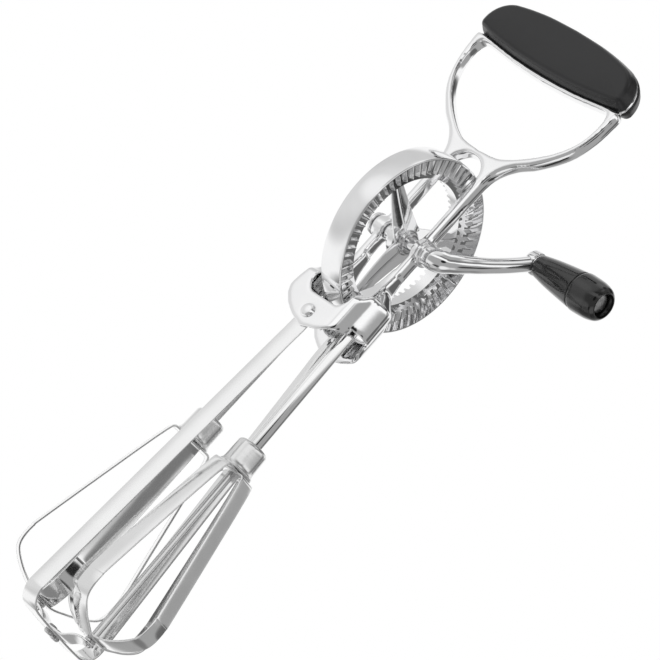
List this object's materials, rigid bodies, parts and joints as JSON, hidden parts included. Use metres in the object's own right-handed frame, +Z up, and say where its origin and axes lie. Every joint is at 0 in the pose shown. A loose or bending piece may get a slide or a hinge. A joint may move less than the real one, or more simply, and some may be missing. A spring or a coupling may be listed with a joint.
{
  "type": "egg beater",
  "caption": "Hand-cranked rotary egg beater: finger-loop grip, crown-toothed drive wheel with side crank, and counter-turning strip beaters on hollow shafts.",
  "frame": {"origin": "middle of the foot, on the plane of the foot rivet heads the beater stands on", "axes": "+Z up along the tool, wheel axle along Y with the crank on +Y, finger loop in the YZ plane, side faces of the gear hood facing +X and -X"},
  "size_m": [0.072, 0.1091, 0.2999],
  "materials": {
    "chrome_casting": "bright chrome plate on a die casting",
    "chrome_wheel": "bright chrome plate on a die casting",
    "chrome_axle": "bright plated steel",
    "chrome_crank": "bright chrome plate",
    "chrome_rivet": "bright plated rivet",
    "grip_black": "satin black moulded plastic",
    "knob_black": "glossy black moulded plastic",
    "steel_pin": "dull rivet steel",
    "steel_rod": "drawn steel rod",
    "steel_pinion": "pressed steel, plain",
    "polished_strip": "polished stainless strip",
    "polished_tube": "polished stainless tube",
    "brushed_ferrule": "spun stainless, softly brushed"
  },
  "bodies": {
    "frame": {"body_casting": "chrome_casting", "grip_front_shell": "grip_black", "grip_rear_shell": "grip_black", "grip_pins": "steel_pin", "support_strip": "polished_strip", "strip_rivets": "chrome_rivet", "pivot_bar": "polished_strip", "foot_rivets": "steel_pin", "front_axle_rod": "steel_rod", "rear_axle_rod": "steel_rod"},
    "wheel": {"drive_wheel": "chrome_wheel", "wheel_axle": "chrome_axle", "crank_arm": "chrome_crank", "knob_stud": "steel_pin"},
    "knob": {"knob_sleeve": "knob_black", "knob_end_cap": "knob_black"},
    "front_beater": {"front_pinion": "steel_pinion", "front_shaft": "polished_tube", "front_ferrule": "brushed_ferrule", "front_loop_outer": "polished_strip", "front_loop_inner": "polished_strip"},
    "rear_beater": {"rear_pinion": "steel_pinion", "rear_shaft": "polished_tube", "rear_ferrule": "brushed_ferrule", "rear_loop_outer": "polished_strip", "rear_loop_inner": "polished_strip"}
  },
  "joints": [
    {"name": "wheel_turn", "type": "hinge", "parent": "frame", "child": "wheel", "pos_m": [0, 0, 0.1964], "axis": [0, 1, 0], "continuous": true},
    {"name": "knob_spin", "type": "hinge", "parent": "wheel", "child": "knob", "pos_m": [-0.02652, 0.0527, 0.22292], "axis": [0, 1, 0], "continuous": true},
    {"name": "front_beater_spin", "type": "hinge", "parent": "frame", "child": "front_beater", "pos_m": [0, 0.01013, 0.1664], "axis": [0, -0.0291, 0.9996], "continuous": true},
    {"name": "rear_beater_spin", "type": "hinge", "parent": "frame", "child": "rear_beater", "pos_m": [0, -0.01013, 0.1664], "axis": [0, 0.0291, 0.9996], "continuous": true}
  ],
  "couplings": [
    {"joint": "front_beater_spin", "follows": "wheel_turn", "ratio": -5},
    {"joint": "rear_beater_spin", "follows": "wheel_turn", "ratio": 5}
  ]
}
